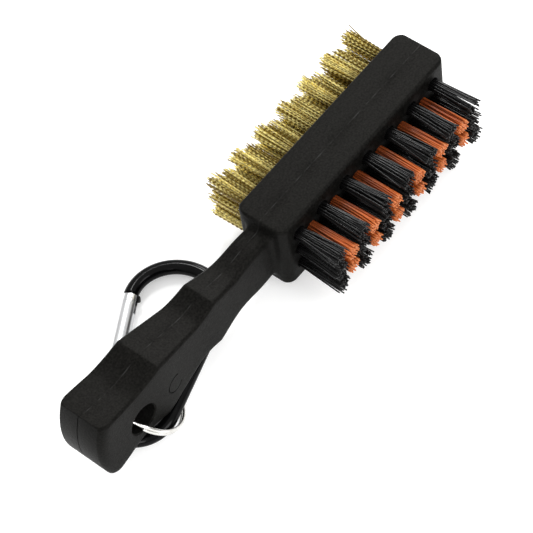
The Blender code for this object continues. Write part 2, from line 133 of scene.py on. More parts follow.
# Camera: azimuth, elevation and roll in degrees about a target, distance in metres, lens in mm.
CAMERA_TARGET = Vector((-0.03644, 0.00102, 0.00098))
CAMERA_ANGLES = (-42.483, 56.524, -10.563)
CAMERA_DISTANCE = 0.65247
CAMERA_LENS = 155.94

rng = random.Random(7)


# ---------------------------------------------------------------- materials

class Finish:
    """A material around one Principled shader, with small helpers for its nodes."""

    def __init__(self, name, roughness, metallic=0.0):
        self.material = bpy.data.materials.new(name)
        self.material.use_nodes = True
        self.nodes = self.material.node_tree.nodes
        self.links = self.material.node_tree.links
        self.shader = self.nodes["Principled BSDF"]
        self.shader.inputs["Metallic"].default_value = metallic
        self.shader.inputs["Roughness"].default_value = roughness
        self.place = self.nodes.new("ShaderNodeTexCoord").outputs["Object"]

    def node(self, kind, inputs=(), **settings):
        """Add a node: each input is linked where it is a socket and set where it is a value."""
        made = self.nodes.new(kind)
        for key, value in settings.items():
            setattr(made, key, value)
        for key, value in dict(inputs).items():
            if isinstance(value, bpy.types.NodeSocket):
                self.links.new(value, made.inputs[key])
            else:
                made.inputs[key].default_value = value
        return made

    def noise(self, scale, detail=3.0, stretch=None, turn=0.0):
        """Noise, stretched along the axes after the place is turned about Z."""
        vector = self.place
        if turn:
            vector = self.node("ShaderNodeVectorRotate", {"Vector": vector, "Angle": -turn}).outputs[0]
        if stretch:
            vector = self.node("ShaderNodeMapping", {"Vector": vector, "Scale": stretch}).outputs[0]
        inputs = {"Vector": vector, "Scale": scale, "Detail": detail}
        return self.node("ShaderNodeTexNoise", inputs).outputs["Fac"]

    def ramp(self, factor, low, high):
        """From one colour to another, over the middle of a noise's range."""
        made = self.node("ShaderNodeValToRGB", {"Fac": factor})
        ends = made.color_ramp.elements
        ends[0].position, ends[1].position = 0.32, 0.68
        ends[0].color, ends[1].color = (*low, 1.0), (*high, 1.0)
        return made.outputs["Color"]

    def span(self, factor, low, high):
        """A value from low to high, over the middle of a noise's range."""
        return self.rise(factor, 0.3, 0.7, low, high)

    def rise(self, factor, start, end, low, high):
        """A value from low to high as the factor goes from start to end."""
        inputs = {"Value": factor, "From Min": start, "From Max": end, "To Min": low, "To Max": high}
        return self.node("ShaderNodeMapRange", inputs).outputs["Result"]

    def times(self, first, second):
        return self.node("ShaderNodeMath", {0: first, 1: second}, operation="MULTIPLY").outputs[0]

    def mix(self, factor, first, second):
        """Blend two colours: the mix node's colour sockets are 6 and 7, its colour output is 2."""
        made = self.node("ShaderNodeMix", data_type="RGBA")
        for socket, value in ((0, factor), (6, first), (7, second)):
            if isinstance(value, bpy.types.NodeSocket):
                self.links.new(value, made.inputs[socket])
            else:
                made.inputs[socket].default_value = value
        return made.outputs[2]

    def attribute(self, name):
        return self.node("ShaderNodeAttribute", attribute_name=name).outputs["Fac"]

    def set(self, name, value):
        """Link or set one input of the Principled shader."""
        if isinstance(value, bpy.types.NodeSocket):
            self.links.new(value, self.shader.inputs[name])
        else:
            self.shader.inputs[name].default_value = value

    def bump(self, layers):
        """Layers of (height, strength, distance in metres), each on top of the last."""
        normal = None
        for height, strength, distance in layers:
            inputs = {"Height": height, "Strength": strength, "Distance": distance}
            if normal is not None:
                inputs["Normal"] = normal
            normal = self.node("ShaderNodeBump", inputs).outputs["Normal"]
        self.set("Normal", normal)


def moulded_plastic():
    """Black plastic with a fine spark-eroded grain, rubbed on its edges and its parting line."""
    finish = Finish("moulded_plastic", 0.5)
    base = finish.ramp(finish.noise(1700.0, 2.0), (0.001, 0.001, 0.0009), (0.0062, 0.006, 0.0054))
    pointed = finish.node("ShaderNodeNewGeometry").outputs["Pointiness"]
    worn = finish.rise(pointed, 0.52, 0.60, 0.0, 0.6)
    colour = finish.mix(worn, base, (0.012, 0.012, 0.0118, 1.0))
    colour = finish.mix(parting_mask(finish), colour, (0.02, 0.02, 0.0195, 1.0))
    finish.set("Base Color", colour)
    finish.set("Roughness", finish.span(finish.noise(2400.0, 2.0), 0.44, 0.56))
    finish.set("Specular IOR Level", 0.05)
    finish.set("Specular Tint", (1.0, 0.97, 0.9, 1.0))
    finish.bump((
        (finish.noise(3000.0, 2.0), 0.4, 0.00006),
        (finish.noise(1500.0, 2.0), 0.5, 0.00009),
    ))
    return finish.material


def parting_mask(finish):
    """Where the flash line at Y = 0 is rubbed pale: broken along its length, gone at the butt."""
    x, y, _ = finish.node("ShaderNodeSeparateXYZ", {0: finish.place}).outputs
    near = finish.node("ShaderNodeMath", {0: y}, operation="ABSOLUTE").outputs[0]
    line = finish.rise(near, 0.00008, 0.00018, 1.0, 0.0)
    broken = finish.rise(finish.noise(240.0, 4.0, (1.0, 0.0, 0.0)), 0.44, 0.6, 0.0, 1.0)
    ends = finish.rise(x, -0.111, -0.109, 0.0, 1.0)
    for ridge in GRIP_RIDGES:
        middle = -(HEAD_HALF_LENGTH + ridge) * MM
        away = finish.node("ShaderNodeMath", {0: x, 1: middle}, operation="SUBTRACT").outputs[0]
        away = finish.node("ShaderNodeMath", {0: away}, operation="ABSOLUTE").outputs[0]
        ends = finish.times(ends, finish.rise(away, 0.002, 0.005, 0.0, 1.0))
    return finish.times(finish.times(line, broken), ends)


def fibre(name, dark, light, cut_end, roughness, gloss):
    """Drawn nylon: each fibre has its own tone, is painted with shade down in the tuft and is pale where
    cut.
    """
    finish = Finish(name, roughness)
    tone = finish.ramp(finish.attribute("tone"), dark, light)
    streak = finish.span(finish.noise(1500.0, 2.0, (1.0, 0.06, 1.0)), 0.0, 0.35)
    shaded = finish.mix(streak, tone, (*[c * 0.45 for c in dark], 1.0))
    # Painted shade: the colour darkens towards the root, down in the tuft.
    root_shade = finish.span(finish.attribute("reach"), 0.8, 0.0)
    colour = finish.mix(root_shade, shaded, (*[c * 0.3 for c in dark], 1.0))
    tip = finish.rise(finish.attribute("reach"), 0.9, 0.99, 0.0, 0.7)
    finish.set("Base Color", finish.mix(tip, colour, (*cut_end, 1.0)))
    finish.set("Roughness", finish.span(finish.noise(900.0, 2.0), roughness - 0.06, roughness + 0.1))
    finish.set("Specular IOR Level", gloss)
    finish.bump(((finish.noise(5200.0, 2.0, (1.0, 0.1, 1.0)), 0.3, 0.00003),))
    return finish.material


def crimped_brass():
    """Brass wire with a painted highlight that makes its crests bright, and painted shade that makes it
    brown in its bends and down in the tuft.
    """
    finish = Finish("crimped_brass", 0.28, 1.0)
    # The tone attribute mixes each wire's own tone with a painted highlight on the crests and painted
    # shade in the bends.
    tone = finish.ramp(finish.attribute("tone"), (0.13, 0.08, 0.012), (0.97, 0.84, 0.32))
    tarnish = finish.rise(finish.noise(420.0, 4.0), 0.45, 0.65, 0.0, 0.5)
    aged = finish.mix(tarnish, tone, (0.32, 0.22, 0.04, 1.0))
    # Painted shade: the colour turns dark brown towards the root, down in the tuft.
    root_shade = finish.rise(finish.attribute("reach"), 0.0, 0.55, 0.85, 0.0)
    finish.set("Base Color", finish.mix(root_shade, aged, (0.09, 0.055, 0.012, 1.0)))
    finish.set("Roughness", finish.span(finish.noise(1300.0, 3.0), 0.2, 0.36))
    finish.bump(((finish.noise(6000.0, 2.0), 0.25, 0.00003),))
    return finish.material


def plated_metal(name, dull, bright, roughness, streak=(1.0, 1.0, 1.0), turn=0.0, marks=350.0):
    """Bright metal with fine draw lines along its length and soft handling marks."""
    finish = Finish(name, roughness, 1.0)
    lines = finish.noise(marks, 4.0, streak, turn)
    finish.set("Base Color", finish.ramp(lines, dull, bright))
    rough = finish.noise(2.0 * marks, 4.0, streak, turn)
    finish.set("Roughness", finish.span(rough, roughness - 0.05, roughness + 0.07))
    finish.bump(((finish.noise(5.0 * marks, 2.0, streak, turn), 0.02, 0.00002),))
    return finish.material


def black_anodised():
    """Glossy black over aluminium, with a few faint rubs."""
    finish = Finish("black_anodised", 0.12)
    base = finish.ramp(finish.noise(300.0, 4.0), (0.0012, 0.0012, 0.0013), (0.0028, 0.0028, 0.003))
    scuffs = finish.rise(finish.noise(900.0, 6.0), 0.66, 0.76, 0.0, 0.5)
    finish.set("Base Color", finish.mix(scuffs, base, (0.012, 0.012, 0.012, 1.0)))
    finish.set("Roughness", finish.span(finish.noise(500.0, 4.0), 0.08, 0.16))
    finish.set("Specular IOR Level", 0.09)
    finish.bump(((finish.noise(1600.0, 3.0), 0.04, 0.00002),))
    return finish.material


# ---------------------------------------------------------------- mesh helpers

def piece(name, mesh, material, body, replaces=(), sharp=35.0):
    """Link a mesh as one visible piece that rides on a CAD body."""
    made = bpy.data.objects.new(name, mesh)
    bpy.context.scene.collection.objects.link(made)
    mesh.materials.clear()
    mesh.materials.append(material)
    mesh.shade_smooth()
    mesh.set_sharp_from_angle(angle=math.radians(sharp))
    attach(made, body)
    if replaces:
        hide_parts(*replaces)


def mesh_from(bm, name):
    """Finish a mesh that was drawn in millimetres."""
    bmesh.ops.scale(bm, vec=(MM,) * 3, verts=bm.verts)
    bmesh.ops.recalc_face_normals(bm, faces=bm.faces)
    mesh = bpy.data.meshes.new(name)
    bm.to_mesh(mesh)
    bm.free()
    return mesh


def boolean(mesh, steps, name):
    """Apply exact booleans: steps are (operation, tool mesh)."""
    target = bpy.data.objects.new(name, mesh)
    bpy.context.scene.collection.objects.link(target)
    tools = []
    for operation, tool_mesh in steps:
        tool = bpy.data.objects.new(name + "_tool", tool_mesh)
        bpy.context.scene.collection.objects.link(tool)
        tools.append(tool)
        modifier = target.modifiers.new("cut", "BOOLEAN")
        modifier.operation = operation
        modifier.solver = "EXACT"
        modifier.object = tool
    graph = bpy.context.evaluated_depsgraph_get()
    result = bpy.data.meshes.new_from_object(target.evaluated_get(graph))
    for used in [target] + tools:
        bpy.data.objects.remove(used, do_unlink=True)
    result.name = name
    return result


def sweep(points, across, sections, upright=(0.0, 0.0, 1.0)):
    """A solid along a path: each section is (u, v), u along across[i] and v along upright."""
    bm = bmesh.new()
    upright = Vector(upright)
    rings = []
    for point, side, section in zip(points, across, sections):
        rings.append([bm.verts.new(point + u * side + v * upright) for u, v in section])
    count = len(rings[0])
    for near, far in zip(rings, rings[1:]):
        for i in range(count):
            j = (i + 1) % count
            bm.faces.new((near[i], near[j], far[j], far[i]))
    bm.faces.new(rings[0])
    bm.faces.new(list(reversed(rings[-1])))
    return bm


def lathe(profile, sides):
    """Turn a profile of (along, radius) pairs, both ends on the axis, about local X."""
    bm = bmesh.new()
    verts = [bm.verts.new((along, radius, 0.0)) for along, radius in profile]
    edges = [bm.edges.new(pair) for pair in zip(verts, verts[1:])]
    bmesh.ops.spin(
        bm, geom=verts + edges, cent=(0.0, 0.0, 0.0), axis=(1.0, 0.0, 0.0),
        angle=TAU, steps=sides, use_merge=True,
    )
    bmesh.ops.remove_doubles(bm, verts=bm.verts, dist=1e-4)
    return bm


def prism(outline, half_height, bevel=0.0):
    """Raise an outline in XY to both sides of Z = 0."""
    bm = bmesh.new()
    face = bm.faces.new([bm.verts.new((x, y, -half_height)) for x, y in outline])
    raised = bmesh.ops.extrude_face_region(bm, geom=[face])["geom"]
    top = [item for item in raised if isinstance(item, bmesh.types.BMVert)]
    bmesh.ops.translate(bm, verts=top, vec=(0.0, 0.0, 2.0 * half_height))
    if bevel:
        bmesh.ops.bevel(bm, geom=bm.edges[:], offset=bevel, segments=2, affect="EDGES", profile=0.6)
    return bm


def value_at(table, position):
    """Smooth curve through a table of (position, value) pairs."""
    if position <= table[0][0]:
        return table[0][1]
    if position >= table[-1][0]:
        return table[-1][1]
    index = max(i for i, pair in enumerate(table) if pair[0] <= position)
    slopes = []
    for i in (index, index + 1):
        before, after = table[max(i - 1, 0)], table[min(i + 1, len(table) - 1)]
        slopes.append((after[1] - before[1]) / (after[0] - before[0]))
    (x0, y0), (x1, y1) = table[index], table[index + 1]
    width = x1 - x0
    t = (position - x0) / width
    return (
        (2 * t ** 3 - 3 * t ** 2 + 1) * y0 + (t ** 3 - 2 * t ** 2 + t) * width * slopes[0]
        + (3 * t ** 2 - 2 * t ** 3) * y1 + (t ** 3 - t ** 2) * width * slopes[1]
    )


# ---------------------------------------------------------------- moulded body

def parting_height(away):
    """Height of the flash line, which fades in places and dies out on the grip ridges."""
    height = 0.55 + 0.9 * noise.noise(Vector((away * 0.16, 3.1, 0.0)))
    for ridge in GRIP_RIDGES:
        height *= min(1.0, max(0.0, (abs(away - ridge) - 2.0) / 3.0))
    return PARTING_HEIGHT * min(1.0, max(0.12, height))


def half_section(width, half_depth, edges, ridge):
    """One side of a section in (y, z), from the underside's middle round to the top's.

    The edges are the radii above and below.
    """
    under, steps, rows = edges[1], 7, 14
    points = [(0.0, -half_depth - ridge), (PARTING_HALF_WIDTH, -half_depth)]
    points.append(((width - under) / 2, -half_depth))
    for side_z, start, edge in ((-1, -90.0, under), (1, 0.0, edges[0])):
        for step in range(steps + 1):
            angle = math.radians(start + 90.0 * step / steps)
            points.append((
                width - edge + edge * math.cos(angle),
                side_z * (half_depth - edge) + edge * math.sin(angle),
            ))
        if side_z < 0:
            low, high = under - half_depth, half_depth - edges[0]
            points += [(width, low + (high - low) * row / rows) for row in range(1, rows)]
    points.append(((width - edges[0]) / 2, half_depth))
    points += [(PARTING_HALF_WIDTH, half_depth), (0.0, half_depth + ridge)]
    return points


def head_stations():
    """(distance past the end wall, widths, half depth, edges, bulge), from tip to wall."""
    tip = []
    for step in range(9):
        angle = math.radians(90.0 * step / 8)
        x = HEAD_HALF_LENGTH - HEAD_CORNER * (1.0 - math.cos(angle))
        half_width = HEAD_HALF_WIDTH - HEAD_CORNER * (1.0 - math.sin(angle))
        inset = 0.8 * max(0.0, 1.0 - 1.6 * math.sin(angle)) ** 2
        tip.append((x, half_width, HEAD_HALF_DEPTH - inset))
    wall = [(-x, half_width, half_depth) for x, half_width, half_depth in reversed(tip)]
    reach = HEAD_HALF_LENGTH - HEAD_CORNER
    middle = [(reach * (1 - 2 * i / 34), HEAD_HALF_WIDTH, HEAD_HALF_DEPTH) for i in range(1, 34)]
    edges = (HEAD_EDGE, HEAD_EDGE)
    return [(-HEAD_HALF_LENGTH - x, (w, w), d, edges, 0.0) for x, w, d in tip + middle + wall]


def butt_rounding(corner, away):
    """How far a side has drawn in at the butt's upright corner."""
    turn = max(0.0, (away - BUTT_START) / BUTT_LENGTH)
    return corner * (1.0 - math.sqrt(1.0 - 0.96 * turn ** 2))


def handle_stations():
    """The same five values for the handle, with close stations at each grip ridge."""
    rows = []
    for step in range(9):
        angle = math.radians(90.0 * step / 8)
        flare = 1.0 - math.sin(angle)
        away = 0.05 + NECK_FILLET * (1.0 - math.cos(angle))
        width = NECK_HALF_WIDTH + 1.2 * flare
        half_depth = NECK_HALF_DEPTH + 2.7 * flare
        rows.append((away, (width, width), half_depth, (NECK_EDGE, NECK_EDGE), 0.0))
    even = [2.4 + 0.98 * i for i in range(70)]
    distances = [away for away in even if all(abs(away - ridge) > 0.5 for ridge in GRIP_RIDGES)]
    distances += [ridge + offset for ridge in GRIP_RIDGES for offset in (-0.2, 0.0, 0.2)]
    distances += [BUTT_START + BUTT_LENGTH * math.sin(math.radians(10.0 * i)) for i in range(1, 10)]
    for away in sorted(distances):
        widths = (
            value_at(BRASS_WIDTHS, away) - butt_rounding(BRASS_CORNER, away),
            value_at(NYLON_WIDTHS, away) - butt_rounding(NYLON_CORNER, away),
        )
        edges = (value_at(TOP_EDGES, away), value_at(UNDER_EDGES, away))
        bulge = min(1.0, max(0.0, (away - BULGE_START) / (BUTT_START - BULGE_START)) ** 2)
        rows.append((away, widths, value_at(HANDLE_DEPTHS, away), edges, bulge))
    return rows


def body_blank():
    """The moulding without its holes: each section's two sides share their middle points."""
    bm = bmesh.new()
    loops = []
    for away, widths, half_depth, edges, bulge in head_stations() + handle_stations():
        sides = []
        for side, width in zip((1, -1), widths):
            loop = []
            for y, z in half_section(width, half_depth, edges, parting_height(away)):
                reach = away + bulge * BUTT_BULGE * (1.0 - (z / half_depth) ** 2)
                if side < 0 and y == 0.0:
                    loop.append(sides[0][0 if z < 0.0 else -1])
                else:
                    place = (-HEAD_HALF_LENGTH - reach, side * y, HEAD_HALF_DEPTH + z)
                    loop.append(bm.verts.new(place))
            sides.append(loop)
        loops.append(sides)
    for near, far in zip(loops, loops[1:]):
        for side in (0, 1):
            a, b = near[side], far[side]
            for i in range(len(a) - 1):
                quad = (a[i], a[i + 1], b[i + 1], b[i])
                bm.faces.new(quad if side == 0 else quad[::-1])
    for right, left in (loops[0], loops[-1]):
        close_end(bm, right, left)
    return mesh_from(bm, "moulded_body")


def close_end(bm, right, left):
    """Close a section row by row, with its flat top and bottom strips as one face each."""
    flat = 4
    bm.faces.new((right[0], right[1], left[1]))
    bm.faces.new((right[-1], left[-2], right[-2]))
    bm.faces.new(right[1:flat + 1] + left[flat:0:-1])
    bm.faces.new(right[-flat - 1:-1] + left[-2:-flat - 2:-1])
    for i in range(flat, len(right) - flat - 1):
        bm.faces.new((right[i], right[i + 1], left[i + 1], left[i]))


def across_hole(bm, x, z, profile, sides):
    """Add a turned cutter along Y: profile is (distance along Y, radius)."""
    turned = lathe(profile, sides)
    turned.transform(Matrix.Translation((x, 0.0, z)) @ Matrix.Rotation(math.radians(90.0), 4, "Z"))
    mesh = bpy.data.meshes.new("cutter")
    turned.to_mesh(mesh)
    turned.free()
    bm.from_mesh(mesh)
    bpy.data.meshes.remove(mesh)


def body_cutters():
    """The hang hole, a socket for each tuft, the ejector mark and the butt's parting groove."""
    bm = bmesh.new()
    away = -HOLE_X - HEAD_HALF_LENGTH
    brass_rim, nylon_rim = value_at(BRASS_WIDTHS, away), -value_at(NYLON_WIDTHS, away)
    wide = HOLE_RADIUS + 0.35
    across_hole(bm, HOLE_X, HOLE_Z, (
        (-12.0, 0.0), (-12.0, wide), (nylon_rim, wide), (nylon_rim + 0.3, HOLE_RADIUS),
        (brass_rim - 0.3, HOLE_RADIUS), (brass_rim, wide), (12.0, wide), (12.0, 0.0),
    ), 64)
    for x, heights in stations():
        for z in heights:
            for side in (-1, 1):
                face = side * HEAD_HALF_WIDTH
                across_hole(bm, x, z, (
                    (face - side * 2.2, 0.0), (face - side * 2.2, SOCKET_RADIUS),
                    (face - side * 0.15, SOCKET_RADIUS), (face, SOCKET_RADIUS + 0.15),
                    (face + side * 0.5, SOCKET_RADIUS + 0.15), (face + side * 0.5, 0.0),
                ), 28)
    mesh = mesh_from(bm, "body_cutters")
    return [("DIFFERENCE", mesh), ("DIFFERENCE", ejector_mark()), ("DIFFERENCE", butt_groove())]


def ejector_mark():
    """An open arc pressed into the handle's nylon side."""
    points, across = [], []
    for step in range(41):
        angle = math.radians(-35.0 - 265.0 * step / 40)
        away = EJECTOR_AWAY - EJECTOR_RADIUS * math.cos(angle)
        z = EJECTOR_Z + EJECTOR_RADIUS * math.sin(angle)
        points.append(Vector((-HEAD_HALF_LENGTH - away, -value_at(NYLON_WIDTHS, away), z)))
        across.append(Vector((math.cos(angle), 0.0, math.sin(angle))))
    section = [(0.19 * math.cos(a), 0.4 * math.sin(a)) for a in (TAU * i / 8 for i in range(8))]
    bm = sweep(points, across, [section] * len(points), (0.0, 1.0, 0.0))
    return mesh_from(bm, "ejector_mark")


def butt_groove():
    """The parting line runs down the butt's face as a thin groove."""
    depth = value_at(HANDLE_DEPTHS, 74.5)
    inner, outer = [], []
    for step in range(25):
        z = -depth * 0.985 + 2 * depth * 0.985 * step / 24
        face = -HEAD_HALF_LENGTH - BUTT_START - BUTT_LENGTH - BUTT_BULGE * (1.0 - (z / depth) ** 2)
        inner.append((face + 0.28, HEAD_HALF_DEPTH + z))
        outer.append((face - 1.5, HEAD_HALF_DEPTH + z))
    bm = prism(inner + outer[::-1], 0.13)
    stand = Matrix.Rotation(math.radians(90.0), 4, "X")
    bm.transform(Matrix.Translation((0.0, 0.7, 0.0)) @ stand)
    return mesh_from(bm, "butt_groove")


def stations():
    """(x, column heights) of the tufts: rows of three, with rows of two between them."""
    rows = []
    for index in range(STATION_COUNT):
        columns = (-1.0, 0.0, 1.0) if index % 2 == 0 else (-0.5, 0.5)
        heights = [HEAD_HALF_DEPTH + COLUMN_PITCH * c for c in columns]
        rows.append(((index - STATION_COUNT // 2) * STATION_PITCH, heights))
    return rows


def build_body():
    """The moulding with its holes, marks and groove cut in."""
    mesh = boolean(body_blank(), body_cutters(), "moulded_body")
    piece("moulded_body", mesh, moulded_plastic(), "brush", ["handle_body"])


# ---------------------------------------------------------------- bristles

def strand_mesh(name, strands, sides):
    """One mesh of closed round strands. Each is (points, radius, tone or tones), in mm."""
    verts, faces, tones, reaches = [], [], [], []
    turn = np.arange(sides) * TAU / sides
    circle = np.stack([np.cos(turn), np.zeros(sides), np.sin(turn)], axis=1)
    for points, radius, tone in strands:
        points = np.asarray(points)
        radii = np.full(len(points), radius)
        radii[-1] *= 0.72
        start = sum(len(block) for block in verts)
        block = points[:, None, :] + radii[:, None, None] * circle[None, :, :]
        verts.append(block.reshape(-1, 3))
        reach = (np.abs(points[:, 1]) - HEAD_HALF_WIDTH) / TUFT_LENGTH
        tones.append(np.repeat(np.broadcast_to(tone, len(points)), sides))
        reaches.append(np.repeat(reach, sides))
        for ring in range(len(points) - 1):
            low = start + ring * sides
            for i in range(sides):
                j = (i + 1) % sides
                faces.append((low + i, low + j, low + sides + j, low + sides + i))
        faces.append(tuple(range(start, start + sides)))
        top = start + (len(points) - 1) * sides
        faces.append(tuple(range(top + sides - 1, top - 1, -1)))
    mesh = bpy.data.meshes.new(name)
    mesh.from_pydata((np.concatenate(verts) * MM).tolist(), [], faces)
    for label, blocks in (("tone", tones), ("reach", reaches)):
        attribute = mesh.attributes.new(label, "FLOAT", "POINT")
        attribute.data.foreach_set("value", np.concatenate(blocks).astype(np.float32))
    bm = bmesh.new()
    bm.from_mesh(mesh)
    bmesh.ops.recalc_face_normals(bm, faces=bm.faces)
    bm.to_mesh(mesh)
    bm.free()
    return mesh


def scatter(count, radius):
    """Evenly spread places in a disc, a little disturbed."""
    golden = math.pi * (3.0 - math.sqrt(5.0))
    places = []
    for i in range(count):
        away = radius * math.sqrt((i + 0.5) / count)
        angle = i * golden
        jitter = 0.05 * radius
        places.append((away * math.cos(angle) + rng.uniform(-jitter, jitter),
                       away * math.sin(angle) + rng.uniform(-jitter, jitter)))
    return places


def nylon_tuft(x, z, tip_radius, lean, stray):
    """Straight fibres that spread a little towards ragged ends."""
    strands = []
    root_radius = SOCKET_RADIUS - FIBRE_RADIUS - 0.1
    spread = tip_radius / root_radius
    for u, w in scatter(FIBRES_PER_TUFT, root_radius):
        length = TUFT_LENGTH - 0.35 + rng.gauss(0.0, 0.28)
        length = min(length, TUFT_LENGTH + 0.2)
        du = u * (spread - 1.0) + rng.gauss(0.0, stray) + lean[0]
        dw = w * (spread - 1.0) + rng.gauss(0.0, stray) + lean[1]
        bow = rng.gauss(0.0, 0.12)
        points = []
        for t in (0.0, 0.14, 0.3, 0.5, 0.72, 0.9, 0.992, 1.0):
            out = max(0.0, t - 0.1) ** 1.25 / 0.9 ** 1.25
            y = -(HEAD_HALF_WIDTH - ROOT_DEPTH + (length + ROOT_DEPTH) * t)
            wave = bow * math.sin(math.pi * t)
            points.append((x + u + du * out + wave, y, z + w + dw * out + 0.6 * wave))
        strands.append((points, FIBRE_RADIUS * rng.uniform(0.93, 1.05), rng.random()))
    return strands


def crimped_tuft(x, z, tip_radius):
    """Wavy wires, crimped together in small groups, with dark gaps between."""
    strands = []
    root_radius = SOCKET_RADIUS - WIRE_RADIUS - 0.28
    spread = tip_radius / root_radius
    plane = rng.uniform(0.0, math.pi)
    base_phase = rng.uniform(0.0, TAU)
    steps = 40
    for u, w in scatter(WIRES_PER_TUFT, root_radius):
        length = TUFT_LENGTH - 0.5 + rng.gauss(0.0, 0.35)
        length = min(length, TUFT_LENGTH + 0.2)
        du = u * (spread - 1.0) + rng.gauss(0.0, 0.2)
        dw = w * (spread - 1.0) + rng.gauss(0.0, 0.2)
        angle = plane + rng.gauss(0.0, 0.5)
        phase = base_phase + 1.3 * u + rng.gauss(0.0, 0.6)
        wavelength = rng.gauss(1.5, 0.07)
        swing = rng.uniform(0.08, 0.13)
        own_tone = rng.random()
        points, tones = [], []
        for step in range(steps + 1):
            t = step / steps
            y = HEAD_HALF_WIDTH - ROOT_DEPTH + (length + ROOT_DEPTH) * t
            grow = min(1.0, t / 0.12)
            crest = math.sin(phase + TAU * (length + ROOT_DEPTH) * t / wavelength)
            wave = swing * grow * crest
            # Painted highlight and shade: the tone is lighter on each crest and darker in each bend, mixed
            # with the wire's own tone.
            tones.append(0.6 * own_tone + 0.4 * (0.5 + 0.5 * crest))
            out = max(0.0, t - 0.06)
            points.append((x + u + du * out + wave * math.cos(angle), y,
                           z + w + dw * out + wave * math.sin(angle)))
        strands.append((points, WIRE_RADIUS * rng.uniform(0.92, 1.06), np.array(tones)))
    return strands


def build_tufts():
    """One piece of nylon and one of brass at each station, as in the CAD model."""
    black = fibre(
        "black_fibre", (0.002, 0.002, 0.0022), (0.011, 0.011, 0.0112), (0.006, 0.006, 0.006), 0.3, 0.25,
    )
    orange = fibre(
        "orange_fibre", (0.34, 0.065, 0.012), (0.6, 0.135, 0.026), (0.62, 0.22, 0.08), 0.4, 0.3,
    )
    brass = crimped_brass()
    for index, (x, heights) in enumerate(stations()):
        number = f"{index + 1:02d}"
        colour = "black" if index % 2 == 0 else "orange"
        strands = []
        for z in heights:
            lean = (rng.gauss(0.0, 0.22), rng.gauss(0.0, 0.22))
            if colour == "black":
                strands += nylon_tuft(x, z, 2.75, lean, 0.3)
            else:
                strands += nylon_tuft(x, z, 2.2, lean, 0.16)
        mesh = strand_mesh(f"{colour}_bristles_{number}", strands, 7)
        piece(mesh.name, mesh, black if colour == "black" else orange, "brush",
              [f"{colour}_tufts_{number}"], sharp=60.0)
        wires = []
        for z in heights:
            wires += crimped_tuft(x, z, 2.35)
        if index == STATION_COUNT - 1:
            wires.append(stray_wire(x, heights[-1]))
        mesh = strand_mesh(f"brass_bristles_{number}", wires, 5)
        piece(mesh.name, mesh, brass, "brush", [f"brass_tufts_{number}"], sharp=60.0)


def stray_wire(x, z):
    """One straight loose wire that leans out of the last tuft."""
    points = []
    for step in range(9):
        t = step / 8
        points.append((x + 0.4 + 2.6 * t ** 2, HEAD_HALF_WIDTH - ROOT_DEPTH + 17.4 * t, z + 0.8 + 0.8 * t))
    return (points, 0.2, 0.35)


# ---------------------------------------------------------------- split ring

def build_ring():
    """Two turns of squarish wire, with a jog where one turn steps over to the other."""
    total = 2.0 * TAU - RING_JOG - RING_END_GAP
    steps = 300
    points, across = [], []
    for step in range(steps + 1):
        angle = RING_END_GAP / 2 + total * step / steps
        jog = min(1.0, max(0.0, (angle - TAU + RING_JOG / 2) / RING_JOG))
        lift = (jog * jog * (3.0 - 2.0 * jog) - 0.5) * RING_TURN_SPACING
        turned = angle + RING_JOG_AT
        outward = Vector((math.cos(turned), math.sin(turned), 0.0))
        points.append(RING_RADIUS * outward + Vector((0.0, 0.0, lift)))
        across.append(outward)
    section = []
    for i in range(20):
        angle = TAU * i / 20
        u, v = math.cos(angle), math.sin(angle)
        section.append((0.5 * math.copysign(abs(u) ** 0.8, u), 0.515 * math.copysign(abs(v) ** 0.75, v)))
    bm = sweep(points, across, [section] * len(points))
    turn = RING_NORMAL.to_track_quat("Z", "Y").to_matrix().to_4x4()
    bm.transform(Matrix.Translation(RING_CENTRE) @ turn)
    nickel = plated_metal("bright_nickel", (0.6, 0.59, 0.56), (0.84, 0.835, 0.81), 0.15)
    piece("bright_split_ring", mesh_from(bm, "bright_split_ring"), nickel, "ring",
          ["split_ring"], sharp=50.0)


# ---------------------------------------------------------------- snap hook

HOOK_PLACE = (
    Matrix.Translation(HOOK_ORIGIN) @ Matrix.Rotation(HOOK_PITCH, 4, "Y")
    @ Matrix.Rotation(HOOK_YAW, 4, "Z")
)
GATE_AXIS = GATE_TIP - GATE_PIVOT
GATE_LENGTH = GATE_AXIS.length
GATE_PLACE = (
    HOOK_PLACE @ Matrix.Translation(GATE_PIVOT)
    @ Matrix.Rotation(math.atan2(GATE_AXIS.y, GATE_AXIS.x), 4, "Z")
)


def placed(bm, place, name):
    """Move a drawing from its own axes to the brush's and finish it."""
    bm.transform(place)
    return mesh_from(bm, name)


def rod_path():
    """Centre line of the hook's rod and the in-plane direction across it."""
    quarter = math.radians(90.0)
    points, across = [], []
    for centre, (long, wide), start, end in (
        (WIDE_CENTRE, WIDE_RADII, NOSE_ANGLE, -quarter),
        (NARROW_CENTRE, NARROW_RADII, -quarter, HEEL_ANGLE - TAU),
    ):
        for step in range(49):
            angle = start + (end - start) * step / 48
            reach = Vector((long * math.cos(angle), wide * math.sin(angle), 0.0))
            points.append(Vector((*centre, 0.0)) + reach)
            across.append(Vector((wide * math.cos(angle), long * math.sin(angle), 0.0)).normalized())
    return points, across


